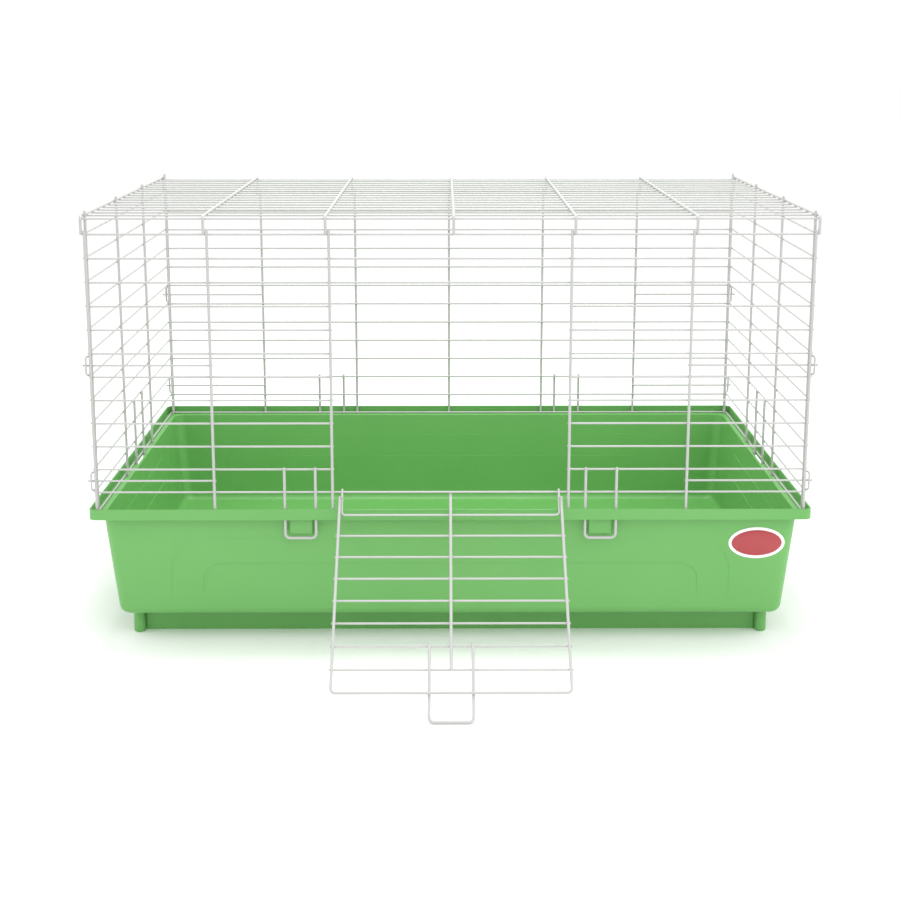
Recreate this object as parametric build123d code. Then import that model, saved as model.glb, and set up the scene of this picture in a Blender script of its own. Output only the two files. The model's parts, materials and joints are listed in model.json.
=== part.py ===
from build123d import *
import os
from math import acos, atan2, cos, degrees, hypot, radians, sin, tan

# Wire hutch on a moulded litter tray. Millimetres, +Z up, +X right, +Y to the back.
# The origin is the centre of the tray's footprint, on the surface that it stands on.

# ---- Driving sizes -------------------------------------------------------------------
TRAY_LENGTH = 766.0  # over the rim, left to right
TRAY_WIDTH = 457.0  # over the rim, front to back
TRAY_HEIGHT = 156.0  # floor to rim top
ROW_PITCH = 24.94  # between two cross wires of a wall, also of the ramp
ROW_COUNT = 13  # cross wires in each wall
BAY_COUNT = 6  # bays between uprights across the front and back
SIDE_BAY_COUNT = 3  # bays between uprights along a side
HEAVY_WIRE = 3.0  # uprights, roof, lock loops and ramp frame
FINE_WIRE = 2.1  # cross wires, rungs, bows and hook wires

# Tray moulding
WALL = 2.2
RIM_DROP = 11.5  # height of the rim's outer lip
LIP_WALL = 2.0
SHELF_DROP = 9.0  # lip top down to the shelf that the walls stand on
SHELF_ROUND = 0.8
RIM_CORNER = 8.0
RIM_ROUND = 0.7
TUB_SETBACK = 11.5  # tub wall behind the rim's face, just under the rim
TUB_DRAFT = 5.4  # degrees
TUB_CORNER = 14.0
TUB_BOTTOM_ROUND = 10.0
PLINTH_HEIGHT = 29.3
PLINTH_SETBACK_X = 43.5  # from the rim's face to the plinth's face, at the ends
PLINTH_SETBACK_Y = 55.5  # the same at the front and back
PLINTH_WALL = 3.0
PLINTH_CORNER = 3.0
POST_DIAMETER = 12.5
POST_OFFSET_X = 4.5  # post axis outside the plinth's corner
POST_OFFSET_Y = 4.0
POST_ROUND = 2.0

# Arches pressed into each tub wall to stiffen it; each fades out at its foot
ARCH_DEPTH = 0.7  # one step, at the arch's top
ARCH_TAIL = 3.0  # cutting block below the foot, clear of the wall
WIDE_ARCH_MARGIN = 71.0  # from the end of the wall to the arch's side
WIDE_ARCH_TOP = 35.5  # below the rim top
WIDE_ARCH_CORNER = 39.0
WIDE_ARCH_FOOT = 111.0  # below the rim top
NARROW_ARCH_MARGIN = 105.0
NARROW_ARCH_TOP = 65.0
NARROW_ARCH_CORNER = 20.0
NARROW_ARCH_FOOT = 107.0

# Walls
SHELF_FOOT_GAP = 0.35  # bottom wire above the shelf
LIP_GAP = 0.6  # uprights to the rim's outer lip
FIT_GAP = 0.3  # clearance of what moves or hooks
CORNER_GAP = 0.4  # side wall to front and back walls
END_UPRIGHT_INSET = 9.0  # front and back end uprights inside the rim's face
SIDE_UPRIGHT_INSET = 9.1  # side uprights inside the rim's face
UPRIGHT_OVERRUN = 4.0  # uprights above the top cross wire
ROW_OVERRUN = 1.5  # cross wires past the end uprights
DOOR_BOTTOM_ROW = 1
DOOR_TOP_ROW = 10

# Corner bows on the side walls, and the wires that hook through them
BOW_HEIGHT = 19.8
BOW_REACH_X = 4.7
BOW_REACH_Y = 6.0
BOW_BEND = 3.0
HOOK_ROWS = (1.5, 6.5)
HOOK_OVERRUN = 8.5  # past the end upright

# Lock loops that drop through the rim
FRONT_LOOP_PITCH = 318.0  # between the two loops of a long wall
FRONT_LOOP_SPAN = 32.6  # between the legs
FRONT_LOOP_ROW = 2
SIDE_LOOP_SPAN = 44.0
SIDE_LOOP_ROW = 3
LOOP_DROP = 32.5  # lowest bar below the rim top
LOOP_BEND = 5.0
LOOP_OVERRUN = 2.0
SLOT_GAP = 1.2  # loop to the ends of its slot
CATCH_SIDE_GAP = 2.3  # catch to each leg
CATCH_HEIGHT = 18.0
CATCH_ROUND = 1.2

# Roof
ROOF_RISE = 19.1  # roof wires above the top cross wire
ROOF_BEND = 4.0
ROOF_BAR_COUNT = 18  # left to right wires
ROOF_STUB = 4.5  # side uprights above the roof wires
HINGE_TAIL = 6.0
CURL_SLACK = 0.05  # a curl is this much tighter than its corner, which leaves a short flat

# Ramp door
RAMP_HALF_WIDTH = 117.0
RAMP_PITCHES = 9
RAMP_CORNER = 5.0
RAMP_HEAD = 4.5  # frame ends short of the hinge wire
RUNG_OVERRUN = 1.0
HINGE_WIRE_TAIL = 8.0
HINGE_WIRE_CORNER = 4.0
HINGE_WIRE_EASE = 3.0
LATCH_HALF_WIDTH = 21.5
LATCH_REACH = 28.5  # tip past the end bar
LATCH_FOOT_RUNG = 7
LATCH_BEND = 5.0
LATCH_KINK_START = 5.0  # past the last rung
LATCH_KINK_LENGTH = 9.0
TIP_GAP = 0.3  # ramp tip above the floor

# Plain badge on the tray front
BADGE_LENGTH = 60.0
BADGE_HEIGHT = 36.0
BADGE_THICKNESS = 0.6
BADGE_X = 328.0
BADGE_DROP = 42.0

# ---- Derived places ------------------------------------------------------------------
HEAVY = HEAVY_WIRE / 2
FINE = FINE_WIRE / 2
CROSSING = HEAVY + FINE  # axis distance of a welded heavy and fine wire
HALF_LENGTH = TRAY_LENGTH / 2
HALF_WIDTH = TRAY_WIDTH / 2
SHELF_Z = TRAY_HEIGHT - SHELF_DROP
BOTTOM_ROW_Z = SHELF_Z + SHELF_FOOT_GAP + FINE
UPRIGHT_INSET = LIP_WALL + LIP_GAP + HEAVY
UPRIGHT_Y = HALF_WIDTH - UPRIGHT_INSET
ROW_Y = UPRIGHT_Y - CROSSING
END_UPRIGHT_X = HALF_LENGTH - END_UPRIGHT_INSET
BAY = 2 * END_UPRIGHT_X / BAY_COUNT
JAMB_X = BAY
SIDE_UPRIGHT_X = HALF_LENGTH - SIDE_UPRIGHT_INSET
SIDE_ROW_X = SIDE_UPRIGHT_X + CROSSING
SIDE_REACH_Y = ROW_Y - FINE - CORNER_GAP
SIDE_UPRIGHT_Y = SIDE_REACH_Y - HEAVY
TUB_FLOOR_Z = PLINTH_HEIGHT + WALL
TUB_TOP_Z = TRAY_HEIGHT - RIM_DROP


def row_z(row):
    return BOTTOM_ROW_Z + row * ROW_PITCH


TOP_ROW_Z = row_z(ROW_COUNT - 1)
ROOF_Z = TOP_ROW_Z + ROOF_RISE
ROOF_LEG_Y = ROW_Y + CROSSING + FIT_GAP


# ---- Wire makers ---------------------------------------------------------------------
def straight_wire(start, end, diameter):
    run = Vector(*end) - Vector(*start)
    return Solid.make_cylinder(diameter / 2, run.length, Plane(origin=start, z_dir=run))


def bent_wire(points, bends, diameter):
    # bends holds one radius for each inner point
    path = FilletPolyline(*points, radius=bends)
    heading = Vector(*points[1]) - Vector(*points[0])
    section = Plane(origin=points[0], z_dir=heading) * Circle(diameter / 2)
    return sweep(section, path=path).solid()


def save(node, solids):
    export_step(Compound(children=list(solids)), f"parts/{node}.step")


# ---- Tray ----------------------------------------------------------------------------
def rounded_block(inset_x, inset_y, corner, bottom, top):
    outline = RectangleRounded(TRAY_LENGTH - 2 * inset_x, TRAY_WIDTH - 2 * inset_y, corner)
    return extrude(Plane.XY.offset(bottom) * outline, amount=top - bottom)


def tub_inset(z):
    # Distance from the rim's face to the tub's outer face at height z
    return TUB_SETBACK + (TUB_TOP_Z - z) * tan(radians(TUB_DRAFT))


def drafted_block(shell, corner, bottom, top, bottom_round):
    # shell is how far the block's sides lie inside the tub's outer face
    low = tub_inset(bottom) + shell
    high = tub_inset(top) + shell
    foot = Plane.XY.offset(bottom) * RectangleRounded(TRAY_LENGTH - 2 * low, TRAY_WIDTH - 2 * low, corner)
    head = Plane.XY.offset(top) * RectangleRounded(TRAY_LENGTH - 2 * high, TRAY_WIDTH - 2 * high, corner)
    block = loft([foot, head], ruled=True)
    return fillet(block.edges().group_by(Axis.Z)[0], bottom_round)


def wall_plane(side, z, depth=0.0, lean=0.0):
    # side is the outward direction of a tub wall: (0, -1), (0, 1), (-1, 0) or (1, 0).
    # The plane touches the wall depth inside its outer face and lies lean degrees steeper.
    reach = HALF_LENGTH if side[0] else HALF_WIDTH
    tilt = radians(TUB_DRAFT - lean)
    out = reach - tub_inset(z) - depth
    normal = (side[0] * cos(tilt), side[1] * cos(tilt), -sin(tilt))
    along = (-side[1], side[0], 0)
    return Plane(origin=(side[0] * out, side[1] * out, z), x_dir=along, z_dir=normal)


def arch_outline(side, margin, height, corner):
    half = (HALF_WIDTH if side[0] else HALF_LENGTH) - TUB_SETBACK - margin
    arch = Pos(0, (height - ARCH_TAIL) / 2) * Rectangle(2 * half, height + ARCH_TAIL)
    return fillet(arch.vertices().group_by(Axis.Y)[-1], corner)


def pressed_arches(side):
    # Sunk into the outside, and raised by as much inside, so that the wall stays even
    sunk = []
    raised = []
    arches = ((WIDE_ARCH_MARGIN, WIDE_ARCH_TOP, WIDE_ARCH_CORNER, WIDE_ARCH_FOOT, ARCH_DEPTH),
              (NARROW_ARCH_MARGIN, NARROW_ARCH_TOP, NARROW_ARCH_CORNER, NARROW_ARCH_FOOT, 2 * ARCH_DEPTH))
    for margin, top_drop, corner, foot_drop, depth in arches:
        height = foot_drop - top_drop
        outline = arch_outline(side, margin, height, corner)
        lean = degrees(atan2(depth, height))
        foot_z = TRAY_HEIGHT - foot_drop
        sunk.append(extrude(wall_plane(side, foot_z, 0.0, lean) * outline, amount=WALL))
        raised.append(extrude(wall_plane(side, foot_z, WALL, lean) * outline, amount=WALL / 2))
    return sunk, raised


def loop_sites():
    # Each lock loop: the wall it is in, its centre, and whether it lies along X
    half = FRONT_LOOP_PITCH / 2
    sites = []
    for wall, out in (("front", -1), ("back", 1)):
        sites.append((wall, (-half, out * UPRIGHT_Y), (0, out)))
        sites.append((wall, (half, out * UPRIGHT_Y), (0, out)))
    sites.append(("left", (-SIDE_UPRIGHT_X, 0), (-1, 0)))
    sites.append(("right", (SIDE_UPRIGHT_X, 0), (1, 0)))
    return sites


def loop_span(side):
    return SIDE_LOOP_SPAN if side[0] else FRONT_LOOP_SPAN


def sized_box(side, along, across, low, high):
    # Box with its along size parallel to a wall, standing from low to high
    size = (across, along) if side[0] else (along, across)
    return Pos(0, 0, (low + high) / 2) * Box(size[0], size[1], high - low)


def loop_slot(centre, side):
    length = loop_span(side) + HEAVY_WIRE + 2 * SLOT_GAP
    width = HEAVY_WIRE + SLOT_GAP
    return Pos(*centre, 0) * sized_box(side, length, width, TUB_TOP_Z - 1, TUB_TOP_Z + 2 * WALL)


def loop_catch(centre, side):
    # Block on the tub wall between a loop's legs; the loop's bar passes in front of it
    face = abs(centre[0] * side[0] + centre[1] * side[1]) - HEAVY - CORNER_GAP
    low = TUB_TOP_Z - CATCH_HEIGHT
    wall_face = (HALF_LENGTH if side[0] else HALF_WIDTH) - tub_inset(low)
    depth = face - wall_face + WALL / 2
    width = loop_span(side) - HEAVY_WIRE - 2 * CATCH_SIDE_GAP
    block = sized_box(side, width, depth, low, TUB_TOP_Z + WALL / 2)
    axis = Axis.X if side[0] else Axis.Y
    outward = side[0] + side[1]
    front = block.faces().sort_by(axis)[-1 if outward > 0 else 0]
    block = fillet(front.edges(), CATCH_ROUND)
    middle = outward * (face - depth / 2)
    shift = (middle, centre[1]) if side[0] else (centre[0], middle)
    return Pos(*shift, 0) * block


def make_plinth():
    inset = (PLINTH_SETBACK_X, PLINTH_SETBACK_Y)
    top = PLINTH_HEIGHT + WALL / 2
    ring = rounded_block(*inset, PLINTH_CORNER, 0, top)
    hollow = (PLINTH_SETBACK_X + PLINTH_WALL, PLINTH_SETBACK_Y + PLINTH_WALL)
    ring -= rounded_block(*hollow, PLINTH_CORNER, -1, top + 1)
    x = HALF_LENGTH - PLINTH_SETBACK_X + POST_OFFSET_X
    y = HALF_WIDTH - PLINTH_SETBACK_Y + POST_OFFSET_Y
    for spot in ((-x, -y), (x, -y), (-x, y), (x, y)):
        post = Pos(*spot, 0) * extrude(Circle(POST_DIAMETER / 2), amount=top)
        ring += fillet(post.edges().group_by(Axis.Z)[0], POST_ROUND)
    return ring


def make_tray():
    tray = rounded_block(0, 0, RIM_CORNER, TUB_TOP_Z, TRAY_HEIGHT)
    tray += drafted_block(0, TUB_CORNER, PLINTH_HEIGHT, TUB_TOP_Z + WALL / 2, TUB_BOTTOM_ROUND)
    tray += make_plinth()
    for _, centre, side in loop_sites():
        tray += loop_catch(centre, side)
    tray -= drafted_block(WALL, TUB_CORNER - WALL, TUB_FLOOR_Z, SHELF_Z + 1, TUB_BOTTOM_ROUND - WALL)
    for side in ((0, -1), (0, 1), (-1, 0), (1, 0)):
        sunk, raised = pressed_arches(side)
        tray += raised
        tray -= sunk
    tray -= rounded_block(LIP_WALL, LIP_WALL, RIM_CORNER - LIP_WALL, SHELF_Z, TRAY_HEIGHT + 1)
    shelf = tray.faces().filter_by(Axis.Z).filter_by_position(Axis.Z, SHELF_Z - 0.01, SHELF_Z + 0.01)[0]
    tray = fillet(shelf.inner_wires().edges(), SHELF_ROUND)
    for _, centre, side in loop_sites():
        tray -= loop_slot(centre, side)
    lip_edges = tray.edges().filter_by_position(Axis.Z, TRAY_HEIGHT - 0.01, TRAY_HEIGHT + 0.01)
    return fillet(lip_edges, RIM_ROUND).solid()


def make_badge():
    outline = Pos(BADGE_X, 0) * Ellipse(BADGE_LENGTH / 2, BADGE_HEIGHT / 2)
    return extrude(wall_plane((0, -1), TRAY_HEIGHT - BADGE_DROP) * outline, amount=BADGE_THICKNESS).solid()


# ---- Front and back walls ------------------------------------------------------------
def cross_wire(x_from, x_to, y, z):
    return straight_wire((x_from, y, z), (x_to, y, z), FINE_WIRE)


def upright(x, y, top):
    return straight_wire((x, y, row_z(0) - FINE), (x, y, top), HEAVY_WIRE)


def front_rows(kind):
    reach = END_UPRIGHT_X + ROW_OVERRUN
    stop = JAMB_X - HEAVY
    spans = {"full": (-reach, reach), "left": (-reach, -stop), "right": (stop, reach)}
    for row in range(ROW_COUNT):
        doorway = DOOR_BOTTOM_ROW < row < DOOR_TOP_ROW
        if doorway != (kind == "full"):
            yield cross_wire(*spans[kind], -ROW_Y, row_z(row))


def back_rows():
    reach = END_UPRIGHT_X + ROW_OVERRUN
    for row in range(ROW_COUNT):
        yield cross_wire(-reach, reach, ROW_Y, row_z(row))


def wall_uprights(out):
    for bay in range(BAY_COUNT + 1):
        x = -END_UPRIGHT_X + bay * BAY
        if out > 0 or abs(x) > 1:
            yield upright(x, out * UPRIGHT_Y, TOP_ROW_Z + UPRIGHT_OVERRUN)


def corner_hook_wires(out):
    # Short wires from the first inner upright, through the side wall's bows
    inner = END_UPRIGHT_X - BAY - HEAVY
    outer = END_UPRIGHT_X + HOOK_OVERRUN
    for row in HOOK_ROWS:
        yield cross_wire(-outer, -inner, out * ROW_Y, row_z(row))
        yield cross_wire(inner, outer, out * ROW_Y, row_z(row))


def lock_loops(wall):
    for name, centre, side in loop_sites():
        if name != wall:
            continue
        half = loop_span(side) / 2
        row = SIDE_LOOP_ROW if side[0] else FRONT_LOOP_ROW
        top = row_z(row) + LOOP_OVERRUN
        low = TRAY_HEIGHT - LOOP_DROP
        step = (0, half) if side[0] else (half, 0)
        near = (centre[0] - step[0], centre[1] - step[1])
        far = (centre[0] + step[0], centre[1] + step[1])
        points = [(*near, top), (*near, low), (*far, low), (*far, top)]
        yield bent_wire(points, [LOOP_BEND] * 2, HEAVY_WIRE)


# ---- Side walls ----------------------------------------------------------------------
def side_rows(out):
    x = out * SIDE_ROW_X
    for row in range(ROW_COUNT):
        yield straight_wire((x, -SIDE_REACH_Y, row_z(row)), (x, SIDE_REACH_Y, row_z(row)), FINE_WIRE)


def side_uprights(out):
    for bay in range(SIDE_BAY_COUNT + 1):
        y = -SIDE_UPRIGHT_Y + bay * 2 * SIDE_UPRIGHT_Y / SIDE_BAY_COUNT
        yield upright(out * SIDE_UPRIGHT_X, y, ROOF_Z + ROOF_STUB)


def corner_bows(out):
    # Each bow stands on the corner upright and leans out over the end of a hook wire
    start = HEAVY / hypot(BOW_REACH_X, BOW_REACH_Y)
    foot_x = out * (SIDE_UPRIGHT_X + start * BOW_REACH_X)
    head_x = out * (SIDE_UPRIGHT_X + BOW_REACH_X)
    for row in HOOK_ROWS:
        low = row_z(row) - BOW_HEIGHT / 2
        high = row_z(row) + BOW_HEIGHT / 2
        for end in (-1, 1):
            foot = (foot_x, end * (SIDE_UPRIGHT_Y + start * BOW_REACH_Y))
            head = (head_x, end * (SIDE_UPRIGHT_Y + BOW_REACH_Y))
            points = [(*foot, low), (*head, low), (*head, high), (*foot, high)]
            yield bent_wire(points, [BOW_BEND] * 2, FINE_WIRE)


# ---- Roof ----------------------------------------------------------------------------
def roof_wire_places():
    beside = HEAVY_WIRE + FIT_GAP
    places = [beside]
    for bay in range(1, BAY_COUNT // 2):
        places += [-(bay * BAY + beside), bay * BAY + beside]
    return places


def roof_hinge_wires():
    # Front leg hangs outside the top cross wire; the back leg curls under the back one
    curl = CROSSING + FIT_GAP
    for x in roof_wire_places():
        points = [(x, -ROOF_LEG_Y, TOP_ROW_Z), (x, -ROOF_LEG_Y, ROOF_Z), (x, ROOF_LEG_Y, ROOF_Z),
                  (x, ROOF_LEG_Y, TOP_ROW_Z - curl), (x, ROW_Y - curl, TOP_ROW_Z - curl),
                  (x, ROW_Y - curl, TOP_ROW_Z + HINGE_TAIL)]
        bend = curl - CURL_SLACK
        yield bent_wire(points, [ROOF_BEND, ROOF_BEND, bend, bend], HEAVY_WIRE)


def roof_edge_wires():
    x = SIDE_UPRIGHT_X + HEAVY_WIRE + CORNER_GAP
    for out in (-1, 1):
        points = [(out * x, -ROOF_LEG_Y, TOP_ROW_Z), (out * x, -ROOF_LEG_Y, ROOF_Z),
                  (out * x, ROOF_LEG_Y, ROOF_Z), (out * x, ROOF_LEG_Y, TOP_ROW_Z)]
        yield bent_wire(points, [ROOF_BEND] * 2, HEAVY_WIRE)


def roof_bars():
    # The first and last bars nest in the bends, and the rest lie under the roof wires
    reach = SIDE_UPRIGHT_X + HEAVY_WIRE + CORNER_GAP + ROW_OVERRUN
    nest = (ROOF_BEND - CROSSING) * sin(radians(45))
    end_y = ROOF_LEG_Y - ROOF_BEND + nest
    end_z = ROOF_Z - ROOF_BEND + nest
    for bar in range(ROOF_BAR_COUNT):
        y = -end_y + bar * 2 * end_y / (ROOF_BAR_COUNT - 1)
        z = end_z if bar in (0, ROOF_BAR_COUNT - 1) else ROOF_Z - CROSSING
        yield cross_wire(-reach, reach, y, z)


# ---- Ramp door -----------------------------------------------------------------------
# The ramp is drawn from its hinge wire: reach runs down the ramp, and depth is below it.
FRAME_DEPTH = CROSSING + FIT_GAP
RUNG_DEPTH = FRAME_DEPTH + CROSSING
LATCH_DEPTH = FRAME_DEPTH + HEAVY_WIRE
RAMP_END = RAMP_PITCHES * ROW_PITCH
RAMP_TIP = RAMP_END + LATCH_REACH
HINGE_Z = row_z(DOOR_BOTTOM_ROW)


def ramp_tilt():
    # Angle of the lowered ramp from straight down, with its tip just above the floor
    drop = HINGE_Z - HEAVY - TIP_GAP
    return acos(drop / hypot(RAMP_TIP, LATCH_DEPTH)) + atan2(LATCH_DEPTH, RAMP_TIP)


def on_ramp(x, reach, depth):
    tilt = ramp_tilt()
    y = -ROW_Y - reach * sin(tilt) + depth * cos(tilt)
    z = HINGE_Z - reach * cos(tilt) - depth * sin(tilt)
    return (x, y, z)


def ramp_frame():
    side = RAMP_HALF_WIDTH
    corners = [(-side, RAMP_HEAD), (-side, RAMP_END), (side, RAMP_END), (side, RAMP_HEAD)]
    return bent_wire([on_ramp(x, reach, FRAME_DEPTH) for x, reach in corners],
                     [RAMP_CORNER] * 2, HEAVY_WIRE)


def ramp_hinge_wire():
    # First rung; its ends run up beside the frame and curl over the hinge wire
    curl = FINE_WIRE + FIT_GAP
    leg = RAMP_HALF_WIDTH - CROSSING
    bend = curl - CURL_SLACK
    half = [(leg, HINGE_WIRE_TAIL, -curl), (leg, -curl, -curl), (leg, -curl, curl),
            (leg, 0.0, curl), (leg, ROW_PITCH, RUNG_DEPTH)]
    mirrored = [(-x, reach, depth) for x, reach, depth in reversed(half)]
    bends = [bend, bend, HINGE_WIRE_EASE, HINGE_WIRE_CORNER]
    return bent_wire([on_ramp(*point) for point in half + mirrored], bends + bends[::-1], FINE_WIRE)


def ramp_rungs():
    half = RAMP_HALF_WIDTH + HEAVY + RUNG_OVERRUN
    for rung in range(2, RAMP_PITCHES):
        reach = rung * ROW_PITCH
        yield straight_wire(on_ramp(-half, reach, RUNG_DEPTH), on_ramp(half, reach, RUNG_DEPTH), FINE_WIRE)


def ramp_centre_wire():
    foot = (RAMP_PITCHES - 1) * ROW_PITCH + HEAVY
    return straight_wire(on_ramp(0, -HEAVY, FRAME_DEPTH), on_ramp(0, foot, FRAME_DEPTH), HEAVY_WIRE)


def ramp_latch_loop():
    # Welded over two rungs, then kinked under the end bar, and rounded at the tip
    kink = (RAMP_PITCHES - 1) * ROW_PITCH + LATCH_KINK_START
    foot = LATCH_FOOT_RUNG * ROW_PITCH - HEAVY
    half = [(-LATCH_HALF_WIDTH, foot, FRAME_DEPTH), (-LATCH_HALF_WIDTH, kink, FRAME_DEPTH),
            (-LATCH_HALF_WIDTH, kink + LATCH_KINK_LENGTH, LATCH_DEPTH),
            (-LATCH_HALF_WIDTH, RAMP_TIP, LATCH_DEPTH)]
    mirrored = [(-x, reach, depth) for x, reach, depth in reversed(half)]
    bends = [LATCH_BEND, LATCH_BEND, LATCH_BEND]
    return bent_wire([on_ramp(*point) for point in half + mirrored], bends + bends[::-1], HEAVY_WIRE)


# ---- Build ---------------------------------------------------------------------------
def build():
    os.makedirs("parts", exist_ok=True)
    save("tray", [make_tray()])
    save("badge", [make_badge()])
    for kind in ("full", "left", "right"):
        save(f"front_{kind}_cross_wires", front_rows(kind))
    save("back_cross_wires", back_rows())
    for wall, out in (("front", -1), ("back", 1)):
        save(f"{wall}_uprights", wall_uprights(out))
        save(f"{wall}_corner_hook_wires", corner_hook_wires(out))
        save(f"{wall}_lock_loops", lock_loops(wall))
    for wall, out in (("left", -1), ("right", 1)):
        save(f"{wall}_cross_wires", side_rows(out))
        save(f"{wall}_uprights", side_uprights(out))
        save(f"{wall}_corner_bows", corner_bows(out))
        save(f"{wall}_lock_loop", lock_loops(wall))
    save("roof_hinge_wires", roof_hinge_wires())
    save("roof_edge_wires", roof_edge_wires())
    save("roof_cross_wires", roof_bars())
    save("ramp_frame", [ramp_frame()])
    save("ramp_hinge_wire", [ramp_hinge_wire()])
    save("ramp_rungs", ramp_rungs())
    save("ramp_centre_wire", [ramp_centre_wire()])
    save("ramp_latch_loop", [ramp_latch_loop()])
    print(f"ramp swings {180 - degrees(ramp_tilt()):.3f} degrees from lowered to shut")
    print(f"ramp hinge at y {-ROW_Y:.3f}, z {HINGE_Z:.3f}; roof hinge at y {ROW_Y:.3f}, z {TOP_ROW_Z:.3f}")


build()
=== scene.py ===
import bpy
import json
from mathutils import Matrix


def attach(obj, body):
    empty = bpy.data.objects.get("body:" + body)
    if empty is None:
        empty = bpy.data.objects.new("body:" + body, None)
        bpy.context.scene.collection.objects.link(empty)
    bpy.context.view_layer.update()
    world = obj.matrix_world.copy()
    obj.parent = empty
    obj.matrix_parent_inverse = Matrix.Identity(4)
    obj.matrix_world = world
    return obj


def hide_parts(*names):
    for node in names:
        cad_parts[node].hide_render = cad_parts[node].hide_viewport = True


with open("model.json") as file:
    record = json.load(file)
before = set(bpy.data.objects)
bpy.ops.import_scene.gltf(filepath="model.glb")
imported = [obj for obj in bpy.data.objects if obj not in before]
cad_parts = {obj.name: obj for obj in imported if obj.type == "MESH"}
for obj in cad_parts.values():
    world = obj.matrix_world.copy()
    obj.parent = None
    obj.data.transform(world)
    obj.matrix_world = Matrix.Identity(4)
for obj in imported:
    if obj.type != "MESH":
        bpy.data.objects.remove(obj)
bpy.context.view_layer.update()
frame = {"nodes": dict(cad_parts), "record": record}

import json
import random
from math import radians

import bmesh
import bpy
from mathutils import Matrix, Vector
from mathutils.bvhtree import BVHTree

mm = 0.001
print("frame loaded:", len(frame["nodes"]), "CAD nodes")


def hexColour(code):
    # sRGB hex to the linear colour that a shader takes
    parts = [int(code[i:i + 2], 16) / 255 for i in (1, 3, 5)]
    linear = [c / 12.92 if c <= 0.04045 else ((c + 0.055) / 1.055) ** 2.4 for c in parts]
    return (*linear, 1.0)


def addNode(mat, kind, settings=None, links=None):
    # settings fill input sockets by name or number, and the node's own properties by name
    node = mat.node_tree.nodes.new(kind)
    for name, value in (settings or {}).items():
        if isinstance(name, int) or name in node.inputs:
            node.inputs[name].default_value = value
        else:
            setattr(node, name, value)
    for name, source in (links or {}).items():
        mat.node_tree.links.new(source, node.inputs[name])
    return node


def newMaterial(name):
    mat = bpy.data.materials.new(name)
    mat.use_nodes = True
    mat.node_tree.nodes.clear()
    return mat


def finishMaterial(mat, shader):
    addNode(mat, "ShaderNodeOutputMaterial", links={"Surface": shader.outputs[0]})
    return mat


mixFactor, mixFirst, mixSecond, mixResult = 0, 6, 7, 2  # the Mix node's sockets for colours

polypropylene = {
    "green": "#60a353", "paleGreen": "#6baa5c",
    "ior": 1.49, "roughness": (0.38, 0.48),
    "flowSize": 90 * mm,  # pale flow clouds left by the melt
    "grainSize": 1.1 * mm,  # real spark grain is near 0.2 mm, drawn coarser so that it shows
    "grainHeight": 0.05 * mm, "grainStrength": 0.5,
    "scuffSize": 26 * mm,
    "scuffSpan": (0.35, 0.65),  # the part of the noise's range that the roughness follows
    "depthShare": 0.1, "depthScale": 2 * mm, "depthColour": (0.6, 1.0, 0.4),  # light that sinks in
}


def mouldedPolypropylene():
    # opaque satin plastic with a waxy depth: soft wide highlights, slightly uneven colour
    p = polypropylene
    mat = newMaterial("green_polypropylene_injection_moulded")
    place = addNode(mat, "ShaderNodeTexCoord").outputs["Object"]
    flow = addNode(mat, "ShaderNodeTexNoise",
                   {"Scale": 1 / p["flowSize"], "Detail": 3.0, "Roughness": 0.4}, {"Vector": place})
    colour = addNode(mat, "ShaderNodeMix",
                     {"data_type": "RGBA", mixFirst: hexColour(p["green"]),
                      mixSecond: hexColour(p["paleGreen"])},
                     {mixFactor: flow.outputs["Fac"]})
    grain = addNode(mat, "ShaderNodeTexNoise",
                    {"Scale": 1 / p["grainSize"], "Detail": 2.0}, {"Vector": place})
    scuff = addNode(mat, "ShaderNodeTexNoise",
                    {"Scale": 1 / p["scuffSize"], "Detail": 6.0, "Roughness": 0.7}, {"Vector": place})
    smooth, rough = p["roughness"]
    low, high = p["scuffSpan"]
    gloss = addNode(mat, "ShaderNodeMapRange",
                    {"From Min": low, "From Max": high, "To Min": smooth, "To Max": rough},
                    {"Value": scuff.outputs["Fac"]})
    bump = addNode(mat, "ShaderNodeBump", {"Strength": p["grainStrength"], "Distance": p["grainHeight"]},
                   {"Height": grain.outputs["Fac"]})
    shader = addNode(mat, "ShaderNodeBsdfPrincipled",
                     {"IOR": p["ior"], "Subsurface Weight": p["depthShare"],
                      "Subsurface Scale": p["depthScale"], "Subsurface Radius": p["depthColour"]},
                     {"Base Color": colour.outputs[mixResult], "Roughness": gloss.outputs[0],
                      "Normal": bump.outputs[0]})
    return finishMaterial(mat, shader)


powderCoat = {
    # both wire tones are greyer than the off-white coat: painted shade over every wire
    "white": "#b8b8b6", "shade": "#afafad",
    # weld tones darker than the wire's: painted shade in the crossings, where the wires shade each other
    "weldCoatWithPaintedShade": "#acaca9", "weldDarkToneWithPaintedShade": "#a3a3a0",
    "ior": 1.5, "roughness": (0.3, 0.42),
    "peelSize": 2.5 * mm,  # orange peel ripple of the cured powder
    "peelHeight": 0.06 * mm, "peelStrength": 0.6,
    "patchSize": 60 * mm,  # where the powder lies thinner or thicker
}


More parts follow.
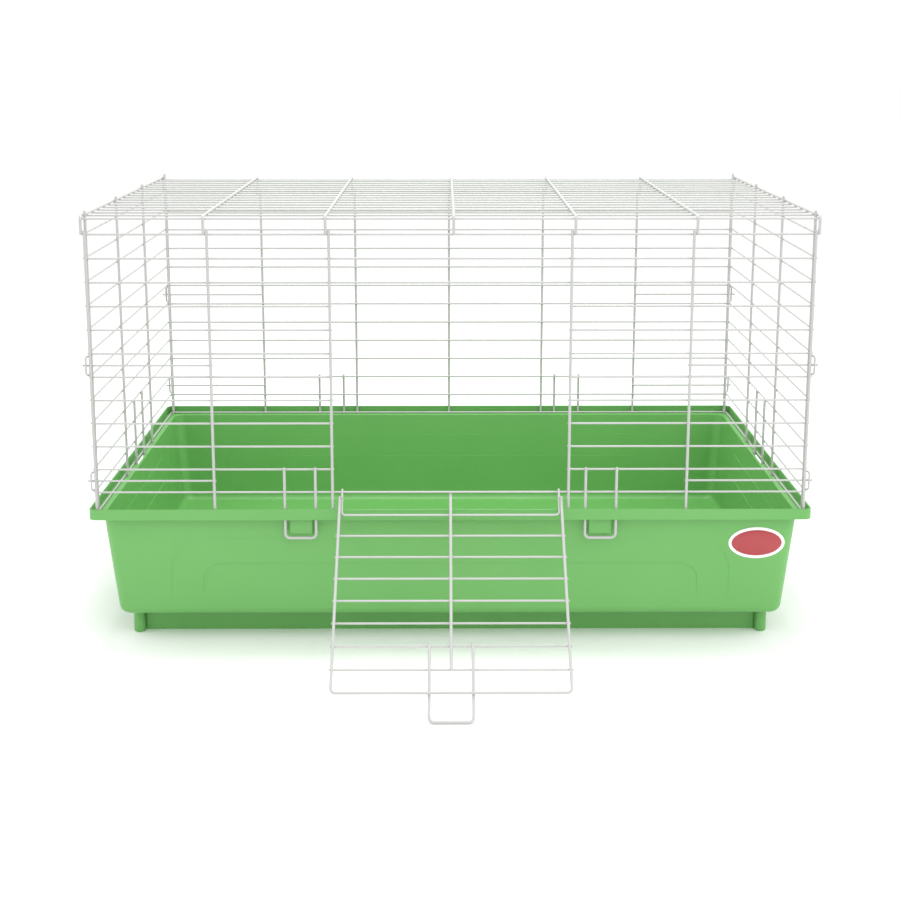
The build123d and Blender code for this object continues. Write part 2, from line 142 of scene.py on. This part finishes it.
def powderCoatedSteel(name, white, shade):
    # thick baked polyester powder on steel wire: off-white, drawn as a grey that holds painted shade,
    # satin, faint ripple, soft edges
    p = powderCoat
    mat = newMaterial(name)
    place = addNode(mat, "ShaderNodeTexCoord").outputs["Object"]
    patch = addNode(mat, "ShaderNodeTexNoise",
                    {"Scale": 1 / p["patchSize"], "Detail": 4.0}, {"Vector": place})
    colour = addNode(mat, "ShaderNodeMix",
                     {"data_type": "RGBA", mixFirst: hexColour(white), mixSecond: hexColour(shade)},
                     {mixFactor: patch.outputs["Fac"]})
    peel = addNode(mat, "ShaderNodeTexNoise",
                   {"Scale": 1 / p["peelSize"], "Detail": 1.0}, {"Vector": place})
    smooth, rough = p["roughness"]
    gloss = addNode(mat, "ShaderNodeMapRange", {"To Min": smooth, "To Max": rough},
                    {"Value": patch.outputs["Fac"]})
    bump = addNode(mat, "ShaderNodeBump", {"Strength": p["peelStrength"], "Distance": p["peelHeight"]},
                   {"Height": peel.outputs["Fac"]})
    shader = addNode(mat, "ShaderNodeBsdfPrincipled", {"IOR": p["ior"]},
                     {"Base Color": colour.outputs[mixResult], "Roughness": gloss.outputs[0],
                      "Normal": bump.outputs[0]})
    return finishMaterial(mat, shader)


labelVinyl = {
    "white": "#eeeeec", "red": "#a10c1c",
    "ior": 1.46, "roughness": 0.35, "coatRoughness": 0.08,
    "rippleSize": 0.8 * mm,  # unevenness of the film where it is pressed on
    "rippleHeight": 0.03 * mm, "rippleStrength": 0.15,
}


def labelFilm(name, code):
    # printed vinyl under clear gloss film: flat even ink with a sharp thin highlight
    v = labelVinyl
    mat = newMaterial(name)
    place = addNode(mat, "ShaderNodeTexCoord").outputs["Object"]
    film = addNode(mat, "ShaderNodeTexNoise",
                   {"Scale": 1 / v["rippleSize"], "Detail": 2.0}, {"Vector": place})
    ripple = addNode(mat, "ShaderNodeBump",
                     {"Strength": v["rippleStrength"], "Distance": v["rippleHeight"]},
                     {"Height": film.outputs["Fac"]})
    shader = addNode(mat, "ShaderNodeBsdfPrincipled",
                     {"Base Color": hexColour(code), "Roughness": v["roughness"], "IOR": v["ior"],
                      "Coat Weight": 1.0, "Coat Roughness": v["coatRoughness"]},
                     {"Normal": ripple.outputs[0]})
    return finishMaterial(mat, shader)


paper = {
    "white": "#fdfdfd", "roughness": 0.95,
    "fibreSize": 3 * mm,  # near the length of a softwood fibre
    "fibreHeight": 0.1 * mm, "fibreStrength": 0.05,
}


def matPaper():
    # seamless studio paper: matt, almost white
    mat = newMaterial("seamless_studio_paper")
    place = addNode(mat, "ShaderNodeTexCoord").outputs["Object"]
    fibre = addNode(mat, "ShaderNodeTexNoise",
                    {"Scale": 1 / paper["fibreSize"], "Detail": 3.0}, {"Vector": place})
    bump = addNode(mat, "ShaderNodeBump",
                   {"Strength": paper["fibreStrength"], "Distance": paper["fibreHeight"]},
                   {"Height": fibre.outputs["Fac"]})
    shader = addNode(mat, "ShaderNodeBsdfPrincipled",
                     {"Base Color": hexColour(paper["white"]), "Roughness": paper["roughness"]},
                     {"Normal": bump.outputs[0]})
    return finishMaterial(mat, shader)


plasticGreen = mouldedPolypropylene()
wireWhite = powderCoatedSteel("white_powder_coated_steel_wire_greyed_as_painted_shade", powderCoat["white"], powderCoat["shade"])
# the coat on the welds is drawn darker than on the wire: painted shade at each crossing
weldCoatWithPaintedShade = powderCoatedSteel("powder_coat_on_welds_with_painted_shade",
                              powderCoat["weldCoatWithPaintedShade"], powderCoat["weldDarkToneWithPaintedShade"])
labelWhite = labelFilm("white_gloss_label_vinyl", labelVinyl["white"])
labelRed = labelFilm("red_ink_under_gloss_film", labelVinyl["red"])
print("materials made")


def dressNodes():
    slots = {part["node"]: part["material_slot"] for part in frame["record"]["subparts"]}
    finishes = {"tray_plastic": plasticGreen, "wire_coating": wireWhite, "badge_film": labelRed}
    for name, node in frame["nodes"].items():
        node.data.materials.clear()
        node.data.materials.append(finishes[slots[name]])


def addObject(name, data):
    made = bpy.data.objects.new(name, data)
    bpy.context.scene.collection.objects.link(made)
    return made


def addMesh(name, bm, materials):
    mesh = bpy.data.meshes.new(name)
    bm.to_mesh(mesh)
    bm.free()
    for mat in materials:
        mesh.materials.append(mat)
    return addObject(name, mesh)


def makePiece(name, bm, materials, body):
    bmesh.ops.recalc_face_normals(bm, faces=bm.faces)
    for face in bm.faces:
        face.smooth = True
    piece = addMesh(name, bm, materials)
    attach(piece, body)
    return piece


# how the wires are searched for their cut ends and for the places where they touch
wireScan = {
    "mergeWithin": 0.001 * mm,
    "flatWithin": radians(0.5),
    "rimPoints": 13,  # a flat face with this many corners or more may be a wire's cut end
    "thickest": 2 * mm,  # no wire has a larger radius
    "roundWithin": 0.05,  # share by which a cut end's radius varies
    "backAlong": 0.9999,  # how closely the way to a wire's other end follows the wire, as a cosine
    "step": 1 * mm,  # along a wire, while looking for wires that cross it
    "window": 4 * mm,  # along a wire, the most that one crossing takes up
    "fineStep": 0.1 * mm,
    "reach": 0.6 * mm,
    "touch": 0.12 * mm,  # a wider gap is a clearance, not a weld
}


def mergedCopy(nodeName):
    bm = bmesh.new()
    bm.from_mesh(frame["nodes"][nodeName].data)
    bmesh.ops.remove_doubles(bm, verts=bm.verts, dist=wireScan["mergeWithin"])
    return bm


def flatFaces(nodeName):
    # centre, outward direction, shortest and longest radius of each flat many-cornered face
    bm = mergedCopy(nodeName)
    bmesh.ops.dissolve_limit(bm, angle_limit=wireScan["flatWithin"], verts=bm.verts, edges=bm.edges)
    found = []
    for face in bm.faces:
        if len(face.verts) >= wireScan["rimPoints"]:
            centre = face.calc_center_median()
            radii = [(vert.co - centre).length for vert in face.verts]
            found.append((centre, face.normal.copy(), min(radii), max(radii)))
    bm.free()
    return found


def wireEnds(nodeName):
    # centre, outward direction and radius of each cut wire end
    ends = []
    for centre, outward, shortest, longest in flatFaces(nodeName):
        if longest < wireScan["thickest"] and longest < shortest * (1 + wireScan["roundWithin"]):
            ends.append((centre, outward, longest))
    return ends


def straightWires(nodeName):
    # each wire of a node of straight wires, as start, end and radius
    ends = wireEnds(nodeName)
    wires = []
    for i, (centre, outward, radius) in enumerate(ends):
        apart = [(other[0] - centre).length for other in ends]
        facing = [j for j, other in enumerate(ends)
                  if j != i and (other[0] - centre).normalized().dot(outward) < -wireScan["backAlong"]]
        partner = min(facing, key=lambda j: apart[j])
        if i < partner:
            wires.append((centre, ends[partner][0], radius))
    return wires


def wireTree(nodeNames):
    joined = bmesh.new()
    for nodeName in nodeNames:
        joined.from_mesh(frame["nodes"][nodeName].data)
    tree = BVHTree.FromBMesh(joined)
    joined.free()
    return tree


def closestAlong(tree, start, run, low, high, limit):
    # the place between low and high along a wire that lies nearest to the other wires
    best = None
    for i in range(int((high - low) / wireScan["fineStep"]) + 1):
        at = low + i * wireScan["fineStep"]
        hit, _, _, gap = tree.find_nearest(start + run * at, limit)
        if hit and (best is None or gap < best[0]):
            best = (gap, at, hit)
    return best


def weldSites(fineNodes, heavyNodes):
    # contact point, fine wire's direction and contact normal of every crossing that touches
    tree = wireTree(heavyNodes)
    step, window = wireScan["step"], wireScan["window"]
    sites = []
    for nodeName in fineNodes:
        for start, end, radius in straightWires(nodeName):
            run = (end - start).normalized()
            length = (end - start).length
            limit = radius + wireScan["reach"]
            at = 0.0
            while at < length:
                if tree.find_nearest(start + run * at, limit)[0] is None:
                    at += step
                    continue
                low, high = max(0, at - step), min(length, at + window)
                gap, place, hit = closestAlong(tree, start, run, low, high, limit)
                if gap - radius < wireScan["touch"]:
                    axisPoint = start + run * place
                    normal = (hit - axisPoint).normalized()
                    sites.append((axisPoint + normal * radius, run, normal))
                at += window + step
    return sites


weldBead = {
    "alongFine": 1.35 * mm, "alongHeavy": 1.2 * mm, "deep": 0.62 * mm,
    "uneven": 0.12,  # each weld differs by up to this share
    "around": 8, "rings": 5,
    "footWide": 1.3, "footDeep": 0.55 * mm,  # at a butted wire end: share of its radius, and depth
    "seamWide": 0.9 * mm, "seamDeep": 0.7 * mm,  # where two wires lie side by side
    "longEdge": 5 * mm, "cuts": 12,  # mesh edges longer than this are cut up before the search
}


def addBead(bm, point, run, normal, size):
    # squashed ball: size is along run, across it, and along the contact's normal
    turn = Matrix((run, normal.cross(run), normal)).transposed().to_4x4()
    squash = Matrix.Diagonal((*size, 1))
    bmesh.ops.create_uvsphere(bm, u_segments=weldBead["around"], v_segments=weldBead["rings"],
                              radius=1.0, matrix=Matrix.Translation(point) @ turn @ squash)


def weldBeads(name, body, fineNodes, heavyNodes):
    # the squashed nugget that a spot weld leaves in each crossing, filled out by the coating
    w = weldBead
    chance = random.Random(name)
    bm = bmesh.new()
    sites = weldSites(fineNodes, heavyNodes)
    for point, run, normal in sites:
        swell = [1 + w["uneven"] * chance.uniform(-1, 1) for _ in range(3)]
        addBead(bm, point, run, normal,
                (w["alongFine"] * swell[0], w["alongHeavy"] * swell[1], w["deep"] * swell[2]))
    print(name, len(sites), "welds")
    # the beads take the darker weld coat, which paints shade into the crossings
    makePiece(name, bm, [weldCoatWithPaintedShade], body)


def footBeads(name, body, nodeName):
    # a ring of weld metal round each wire end that butts against another wire
    w = weldBead
    bm = bmesh.new()
    feet = wireEnds(nodeName)
    for centre, outward, radius in feet:
        wide = radius * w["footWide"]
        addBead(bm, centre, outward.orthogonal().normalized(), outward, (wide, wide, w["footDeep"]))
    print(name, len(feet), "welds")
    makePiece(name, bm, [weldCoatWithPaintedShade], body)


def seamBeads(name, body, fineNode, heavyNodes):
    # long welds where the two legs of a bent wire lie beside another wire
    w = weldBead
    tree = wireTree(heavyNodes)
    wire = mergedCopy(fineNode)
    longEdges = [edge for edge in wire.edges if edge.calc_length() > w["longEdge"]]
    bmesh.ops.subdivide_edges(wire, edges=longEdges, cuts=w["cuts"])
    close = [vert.co.copy() for vert in wire.verts
             if tree.find_nearest(vert.co, wireScan["touch"])[0]]
    wire.free()
    bm = bmesh.new()
    for side in (-1, 1):
        touching = sorted((co for co in close if co.x * side > 0), key=lambda co: co.z)
        seam = touching[-1] - touching[0]
        run = seam.normalized()
        normal = run.cross(Vector((side, 0, 0))).normalized().cross(run)
        middle = (touching[0] + touching[-1]) / 2
        addBead(bm, middle, run, normal, (seam.length / 2, w["seamWide"], w["seamDeep"]))
    print(name, "2 welds")
    makePiece(name, bm, [weldCoatWithPaintedShade], body)


endDome = {
    "height": 0.45, "swell": 1.04,  # shares of the wire's radius
    "overShelf": 0.2 * mm,  # height under an upright, which stands 0.35 mm above the tray's shelf
    "down": -0.99,  # an end that points lower than this faces the shelf
    "around": 12, "rings": 4,
}


def endDomes(name, body, nodeNames):
    # powder builds up round a cut end, which hides the flat cut
    e = endDome
    bm = bmesh.new()
    count = 0
    for nodeName in nodeNames:
        for centre, outward, radius in wireEnds(nodeName):
            turn = outward.to_track_quat("Z", "Y").to_matrix().to_4x4()
            wide = radius * e["swell"]
            height = e["overShelf"] if outward.z < e["down"] else radius * e["height"]
            size = Matrix.Diagonal((wide, wide, height, 1))
            bmesh.ops.create_uvsphere(bm, u_segments=e["around"], v_segments=e["rings"],
                                      radius=1.0, matrix=Matrix.Translation(centre) @ turn @ size)
            count += 1
    print(name, count, "ends")
    makePiece(name, bm, [wireWhite], body)


def makeWireDetails():
    # fine wires are welded to heavy ones
    frontFine = ["front_full_cross_wires", "front_left_cross_wires", "front_right_cross_wires",
                 "front_corner_hook_wires"]
    frontHeavy = ["front_uprights", "front_lock_loops"]
    backFine = ["back_cross_wires", "back_corner_hook_wires"]
    backHeavy = ["back_uprights", "back_lock_loops"]
    weldBeads("front_wall_weld_beads", "cage", frontFine, frontHeavy)
    weldBeads("back_wall_weld_beads", "cage", backFine, backHeavy)
    for side in ("left", "right"):
        fine = [side + "_cross_wires"]
        heavy = [side + "_uprights", side + "_lock_loop"]
        weldBeads(side + "_wall_weld_beads", "cage", fine, heavy)
        endDomes(side + "_wall_end_domes", "cage", fine + heavy)
        footBeads(side + "_bow_weld_beads", "cage", side + "_corner_bows")
    endDomes("front_wall_end_domes", "cage", frontFine + frontHeavy)
    endDomes("back_wall_end_domes", "cage", backFine + backHeavy)
    roofFine, roofHeavy = ["roof_cross_wires"], ["roof_hinge_wires", "roof_edge_wires"]
    weldBeads("roof_weld_beads", "roof", roofFine, roofHeavy)
    endDomes("roof_end_domes", "roof", roofFine + roofHeavy)
    weldBeads("ramp_weld_beads", "ramp", ["ramp_rungs"],
              ["ramp_frame", "ramp_centre_wire", "ramp_latch_loop"])
    seamBeads("ramp_hinge_weld_beads", "ramp", "ramp_hinge_wire", ["ramp_frame"])
    endDomes("ramp_end_domes", "ramp",
             ["ramp_rungs", "ramp_frame", "ramp_centre_wire", "ramp_hinge_wire", "ramp_latch_loop"])


dressNodes()
makeWireDetails()
print("wires dressed")


label = {
    "border": 3.0 * mm, "edgeRound": 0.2 * mm, "edgeSteps": 3,
    "inkRise": 0.08 * mm, "inkSlope": 0.15 * mm,  # the red field stands a little above its white border
    "around": 96,
}


def topFace(bm):
    # the label's upper flat, which is its highest face with many corners
    return max((face for face in bm.faces if len(face.verts) >= label["around"]),
               key=lambda face: face.calc_center_median().z)


def makeLabel():
    # plain oval sticker: white border round one red field, no lettering
    front, back = sorted(flatFaces("badge"), key=lambda face: face[1].y)
    outward = front[1]
    across = Vector((1, 0, 0))
    thick = (front[0] - back[0]).length
    bm = bmesh.new()
    bmesh.ops.create_cone(bm, cap_ends=True, segments=label["around"],
                          radius1=1.0, radius2=1.0, depth=1.0)
    bmesh.ops.translate(bm, vec=(0, 0, 0.5), verts=bm.verts)  # stands on its back face
    bmesh.ops.scale(bm, vec=(front[3], front[2], thick), verts=bm.verts)
    bmesh.ops.bevel(bm, geom=topFace(bm).edges[:], offset=label["edgeRound"], affect="EDGES",
                    segments=label["edgeSteps"], profile=0.5, material=-1)
    bmesh.ops.inset_region(bm, faces=[topFace(bm)], thickness=label["border"])
    red = topFace(bm)
    bmesh.ops.inset_region(bm, faces=[red], thickness=label["inkSlope"], depth=label["inkRise"])
    for face in [red] + [near for edge in red.edges for near in edge.link_faces]:
        face.material_index = 1
    place = Matrix((across, outward.cross(across), outward)).transposed().to_4x4()
    bmesh.ops.transform(bm, matrix=Matrix.Translation(back[0]) @ place, verts=bm.verts)
    piece = makePiece("front_label", bm, [labelWhite, labelRed], "tray")
    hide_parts("badge")


makeLabel()
print("label made")


floorReach = 20.0  # from its middle to each edge


def makeStage():
    bm = bmesh.new()
    bmesh.ops.create_grid(bm, x_segments=1, y_segments=1, size=floorReach)
    floor = addMesh("floor", bm, [matPaper()])


camera = {
    "lens": 58.7, "sensor": 36.0, "shiftY": -0.135,
    "at": (-0.0071, -1.7147, 0.637), "down": 10.9, "turn": 0.25,  # degrees below level, and to the right
}


def makeCamera():
    data = bpy.data.cameras.new("camera")
    data.lens = camera["lens"]
    data.sensor_width = camera["sensor"]
    data.shift_y = camera["shiftY"]
    cam = addObject("camera", data)
    cam.location = camera["at"]
    cam.rotation_euler = (radians(90 - camera["down"]), 0, radians(-camera["turn"]))
    bpy.context.scene.camera = cam


def areaLight(name, at, towards, size, power):
    data = bpy.data.lights.new(name, "AREA")
    data.shape = "RECTANGLE"
    data.size, data.size_y = size
    data.energy = power
    lamp = addObject(name, data)
    lamp.location = at
    lamp.rotation_euler = (Vector(towards) - Vector(at)).to_track_quat("-Z", "Y").to_euler()


studioWhite = 1.03  # the paper and the air round it read as one plain white
lights = {  # place, aimed at, size, watts
    "front_softbox": ((0.6, -2.2, 1.9), (0, 0, 0.15), (2.0, 1.4), 15),
    "left_softbox": ((-2.2, -0.5, 1.2), (0.1, 0, 0.1), (1.4, 1.2), 6),
    "right_softbox": ((2.2, -0.8, 1.3), (-0.1, 0, 0.1), (1.4, 1.2), 10),
    "top_softbox": ((0, 0.05, 1.5), (0, 0, 0), (0.9, 0.5), 14),
}


def makeLights():
    world = bpy.data.worlds.new("white_studio")
    world.use_nodes = True
    air = world.node_tree.nodes["Background"]
    air.inputs["Color"].default_value = (1, 1, 1, 1)
    air.inputs["Strength"].default_value = studioWhite
    bpy.context.scene.world = world
    for name, (at, towards, size, power) in lights.items():
        areaLight(name, at, towards, size, power)
    bpy.context.scene.view_settings.view_transform = "Standard"


makeStage()
makeCamera()
makeLights()
